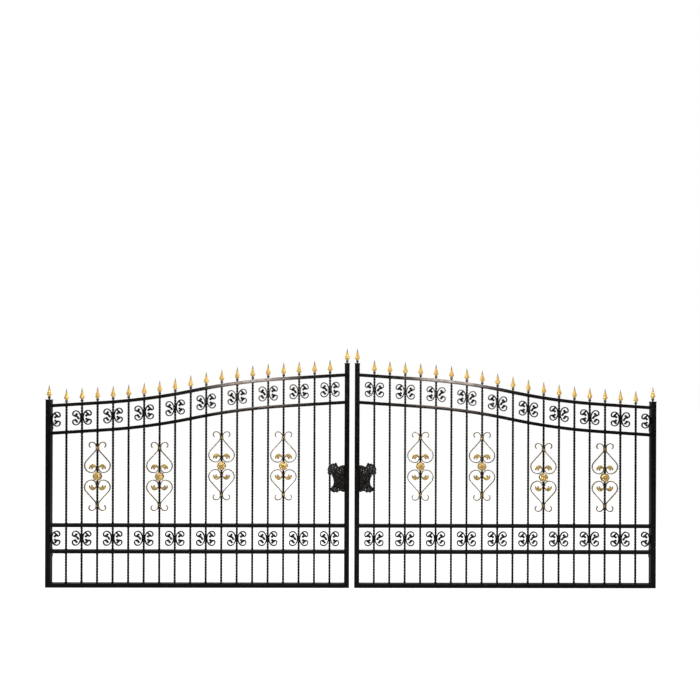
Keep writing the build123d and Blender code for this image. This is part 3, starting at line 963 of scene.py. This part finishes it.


# Lock plates
# A cast plate welded to the latch stile and the last picket: a smooth middle with acanthus leaves that curl
# over both outer corners and a raised rim along the open side, painted black. Small raised spots carry
# painted grey highlights, and the leaves are a little grey along their middles, as rubbed wear and painted
# highlight.
PLATE_CORNER = 1.8 * MM
PLATE_MIDDLE_DROP = 0.5 * MM
RELIEF_SINK = 1.0 * MM
ACANTHUS_STROKES = (
    ((-2, 92, 5.0), (-20, 93, 6.4), (-38, 86, 6.4), (-53, 84, 6.4), (-60, 98, 6.6), (-66, 114, 4.0)),
    ((-50, 76, 5.0), (-66, 86, 7.0), (-78, 98, 7.0), (-86, 108, 4.0)),
    ((-56, 74, 5.0), (-74, 80, 7.4), (-92, 90, 7.4), (-104, 98, 6.0), (-112, 100, 3.0)),
    ((-60, 66, 5.0), (-82, 68, 7.4), (-104, 76, 7.6), (-120, 82, 6.0), (-131, 82, 3.8)),
    ((-66, 58, 5.0), (-86, 56, 7.0), (-108, 58, 7.6), (-124, 62, 6.0), (-136, 62, 3.8)),
    ((-76, 48, 4.0), (-94, 44, 6.0), (-112, 42, 6.4), (-124, 42, 5.6), (-135, 40, 3.6)),
    ((-84, 38, 4.0), (-98, 33, 5.4), (-112, 30, 5.0), (-126, 26, 2.8)),
    ((-10, 68, 3.4), (-22, 70, 4.8), (-34, 62, 5.2), (-46, 50, 5.2), (-55, 52, 4.8), (-56, 62, 4.4),
     (-48, 68, 3.2)),
    ((-4, 50, 3.0), (-14, 52, 4.0), (-24, 46, 4.4), (-32, 38, 3.0)),
    ((-100, 22, 3.4), (-88, 5, 4.8), (-81, -25, 5.0), (-82, -50, 5.0), (-90, -70, 4.8), (-104, -80, 3.2)),
    ((-72, 30, 2.0), (-69, 8, 2.6), (-65, -18, 2.6), (-60, -44, 2.6), (-51, -66, 2.2), (-40, -78, 1.6)),
    ((-60, -84, 5.0), (-74, -86, 6.4), (-88, -84, 6.6), (-102, -86, 5.0), (-110, -90, 3.0)),
    ((-50, -92, 5.0), (-66, -96, 6.6), (-80, -104, 6.4), (-84, -112, 3.4)),
    ((-44, -88, 4.6), (-52, -98, 6.4), (-58, -108, 5.6), (-60, -115, 3.0)),
    ((-84, -92, 4.0), (-94, -98, 5.6), (-100, -104, 3.2)),
    ((-10, -100, 4.0), (-22, -98, 4.6), (-34, -96, 4.6), (-44, -92, 3.6)),
)
# Painted highlights: grey spots where the leaves catch the light, set on small raised bumps.
PAINTED_HIGHLIGHT_SPOTS = (
    (-92, 91, 1.0), (-69, 83, 1.0), (-99, 73, 0.4), (-116, 67, 0.4), (-87, 52, 0.4), (-50, 49, 0.5),
    (-53, 67, 0.5), (-32, 60, 0.6), (-13, 67, 0.4), (-34, 41, 0.5), (-73, -80, 0.35), (-49, -91, 1.0),
    (-78, -97, 0.4),
)
SPOT_SHAPE = ((-2, 0.5), (-1, 1.0), (1, 1.0), (2, 0.5))
SPOT_GIRTH = 6.2
SPOT_RISE = 5.5 * MM
RIDGE_RUB_AND_HIGHLIGHT = 0.025
RUB_AND_HIGHLIGHT_GREY = (0.5, 0.46, 0.43, 1)

# Its dust and top light is strong: the upward sides of the leaves are painted lighter, a painted highlight
# from above.
cast_black = coated(
    "lock_casting_paint", relief=0.5, relief_depth=0.6 * MM, specular=0.07,
    color=(0.0016, 0.0015, 0.0013, 1), patch_color=(0.009, 0.0085, 0.007, 1), patch_scale=60.0,
    patch_amount=0.8, dust_color=(0.05, 0.047, 0.042, 1), dust=0.7, roughness=0.2, grain_scale=160.0,
)
show_through(cast_black, "rubbed", RUB_AND_HIGHLIGHT_GREY)


def ridge_rub_and_highlight(count):
    """How much grey each point of a leaf gets, as rubbed wear and painted highlight: most in its middle, not
    at all at its ends.
    """
    return [RIDGE_RUB_AND_HIGHLIGHT * math.sin(math.pi * step / (count - 1)) for step in range(count)]


plate_low, plate_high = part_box("left_lock_plate")
plate_z = (plate_low.z + plate_high.z) / 2 - PLATE_MIDDLE_DROP
relief_y = plate_low.y + RELIEF_SINK
for side in SIDES:
    node = f"{side}_lock_plate"
    soften(node, PLATE_CORNER, side, cast_black, f"{node}_cast")
    lines = [smooth_line(stroke) for stroke in ACANTHUS_STROKES]
    paths = [[(latch_x + x * MM, relief_y, plate_z + z * MM) for x, z, _ in line] for line in lines]
    girths = [[girth * MM for _, _, girth in line] for line in lines]
    rub_and_highlight_values = [ridge_rub_and_highlight(len(line)) for line in lines]
    for x, z, rub in PAINTED_HIGHLIGHT_SPOTS:
        paths.append([(latch_x + (x + shift) * MM, relief_y - SPOT_RISE, plate_z + z * MM)
                      for shift, _ in SPOT_SHAPE])
        girths.append([SPOT_GIRTH * share * MM for _, share in SPOT_SHAPE])
        rub_and_highlight_values.append([rub] * len(SPOT_SHAPE))
    paths = [on_side(side, line) for line in paths]
    mesh = cast_mesh(node, paths, ROUND, cast_black, girth=girths, rubbed=rub_and_highlight_values)
    keep_piece(f"{node}_acanthus", mesh, f"{side}_leaf")


# Hinges
# Bored steel knuckles on a web and pad, welded to the back of the hinge stile, that hang on the upright
# pins of the wall brackets. All are black painted, and the anchor holes are left open for the bolts.
hardware_black = coated(
    "hardware_black_paint", relief=0.3, relief_depth=0.2 * MM, specular=0.4,
    color=(0.008, 0.008, 0.008, 1), patch_color=(0.02, 0.018, 0.016, 1), patch_scale=60.0, patch_amount=0.6,
    dust_color=(0.2, 0.17, 0.13, 1), dust=0.4, roughness=0.38, grain_scale=600.0,
)
for side in SIDES:
    for node in (f"{side}_hinge_brackets", f"{side}_hinge_eyes"):
        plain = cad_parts[node]
        plain.data.materials.clear()
        plain.data.materials.append(hardware_black)


# Floor, light and camera
# A pale floor just below the gate and a white studio, with two soft lamps high in front and one behind.
# Two bright windows that only gloss sees give the top rail its sheen. The camera is at eye height and level.
PHOTO_WIDTH = 700.0
PHOTO_SPAN = 5587.0 * MM
PHOTO_CENTRE_PX = 352.2
HORIZON_PX = 400.0
CAMERA_DISTANCE = 4700.0 * MM
CAMERA_YAW = math.radians(0.43)
CAMERA_ROLL = math.radians(0.2)
EYE_HEIGHT = 1501.0 * MM
SENSOR_WIDTH = 36.0
FLOOR_GAP = 60.0 * MM
FLOOR_HALF = 60.0
FLOOR_COLOR = (0.8, 0.8, 0.8, 1)
FLOOR_IN_VIEW = (0.3, 0.3, 0.3, 1)
FLOOR_GLOW = 0.8
FLOOR_ROUGHNESS = 0.9
FLOOR_SPECULAR = 0.1
WHITE = (1, 1, 1, 1)
SKY_HEIGHTS = (-0.1, 0.9)
SKY_LIGHT = (0.3, 0.7)
WINDOW_ACROSS = (0.1, 0.23)
WINDOW_UP = (0.0, 0.09)
WINDOW_BLUR = 0.03
WINDOW_STRENGTH = 125.0
WINDOW_BEHIND_CAMERA = (-0.8, -0.9)
WINDOW_TINT = (1.0, 0.84, 0.76, 1)
FRONT_LAMP = (2.4, 170.0)
BACK_LAMP = (3.0, 120.0)
AIM_HEIGHT = 0.9
SIGHT_LIMIT = 200.0

floor_mesh = bpy.data.meshes.new("floor")
floor_z = foot_z - FLOOR_GAP
quarters = ((-1, -1), (1, -1), (1, 1), (-1, 1))
corners = [(mirror_x + x * FLOOR_HALF, y * FLOOR_HALF, floor_z) for x, y in quarters]
floor_mesh.from_pydata(corners, [], [(0, 1, 2, 3)])
floor = bpy.data.objects.new("floor", floor_mesh)
bpy.context.collection.objects.link(floor)
floor_paint = bpy.data.materials.new("pale_floor")
floor_paint.use_nodes = True
floor_tree = floor_paint.node_tree
floor_shader = floor_tree.nodes["Principled BSDF"]
floor_shader.inputs["Roughness"].default_value = FLOOR_ROUGHNESS
floor_shader.inputs["Specular IOR Level"].default_value = FLOOR_SPECULAR
floor_shader.inputs["Emission Color"].default_value = WHITE
seen = add(floor_tree, "ShaderNodeLightPath").outputs["Is Camera Ray"]
glow = math_node(floor_tree, "MULTIPLY", seen, FLOOR_GLOW)
floor_tree.links.new(mixed(floor_tree, seen, FLOOR_COLOR, FLOOR_IN_VIEW), floor_shader.inputs["Base Color"])
floor_tree.links.new(glow, floor_shader.inputs["Emission Strength"])
floor_mesh.materials.append(floor_paint)

world = bpy.data.worlds.new("studio")
bpy.context.scene.world = world
world.use_nodes = True
air = world.node_tree
ray = add(air, "ShaderNodeLightPath").outputs
sight = add(air, "ShaderNodeSeparateXYZ", {0: add(air, "ShaderNodeTexCoord").outputs["Generated"]}).outputs
sky = span(air, sight[2], SKY_HEIGHTS, SKY_LIGHT)
straight = math_node(air, "MAXIMUM", ray["Is Camera Ray"], ray["Is Transmission Ray"])
straight = math_node(air, "MAXIMUM", straight, ray["Is Glossy Ray"])
light = add(air, "ShaderNodeMix", {0: straight, 2: sky, 3: 1.0}, data_type="FLOAT").outputs[0]
sideways = math_node(air, "ABSOLUTE", sight[0])
panes = [span(air, sight[1], WINDOW_BEHIND_CAMERA), ray["Is Glossy Ray"]]
for value, (start, end) in ((sideways, WINDOW_ACROSS), (sight[2], WINDOW_UP)):
    panes.append(span(air, value, (start, start + WINDOW_BLUR)))
    panes.append(span(air, value, (end, end - WINDOW_BLUR)))
window = WINDOW_STRENGTH
for pane in panes:
    window = math_node(air, "MULTIPLY", window, pane)
background = air.nodes["Background"].inputs
air.links.new(math_node(air, "ADD", light, window), background["Strength"])
air.links.new(mixed(air, window, WHITE, WINDOW_TINT), background["Color"])

lamps = (
    ("high_left", (0.6, -3.8, 4.8), FRONT_LAMP),
    ("high_right", (4.3, -3.8, 4.8), FRONT_LAMP),
    ("back", (mirror_x, 4.0, 4.8), BACK_LAMP),
)
aim = Vector((mirror_x, leaf_y, foot_z + AIM_HEIGHT))
for name, place, (size, power) in lamps:
    lamp = bpy.data.lights.new(name, "AREA")
    lamp.size = size
    lamp.energy = power
    holder = bpy.data.objects.new(name, lamp)
    holder.location = place
    holder.rotation_euler = (aim - Vector(place)).to_track_quat("-Z", "Y").to_euler()
    bpy.context.collection.objects.link(holder)

camera = bpy.data.cameras.new("camera")
camera.sensor_width = SENSOR_WIDTH
camera.lens = SENSOR_WIDTH * CAMERA_DISTANCE / PHOTO_SPAN
yaw_px = math.tan(CAMERA_YAW) * CAMERA_DISTANCE / PHOTO_SPAN * PHOTO_WIDTH
camera.shift_x = -(PHOTO_CENTRE_PX + yaw_px - PHOTO_WIDTH / 2) / PHOTO_WIDTH
camera.shift_y = (HORIZON_PX - PHOTO_WIDTH / 2) / PHOTO_WIDTH
camera.clip_end = SIGHT_LIMIT
eye = bpy.data.objects.new("camera", camera)
eye.location = (mirror_x, hinge_low.y - CAMERA_DISTANCE, foot_z + EYE_HEIGHT)
eye.rotation_euler = (math.radians(90), -CAMERA_ROLL, -CAMERA_YAW)
bpy.context.collection.objects.link(eye)
bpy.context.scene.camera = eye
bpy.context.scene.view_settings.view_transform = "Standard"
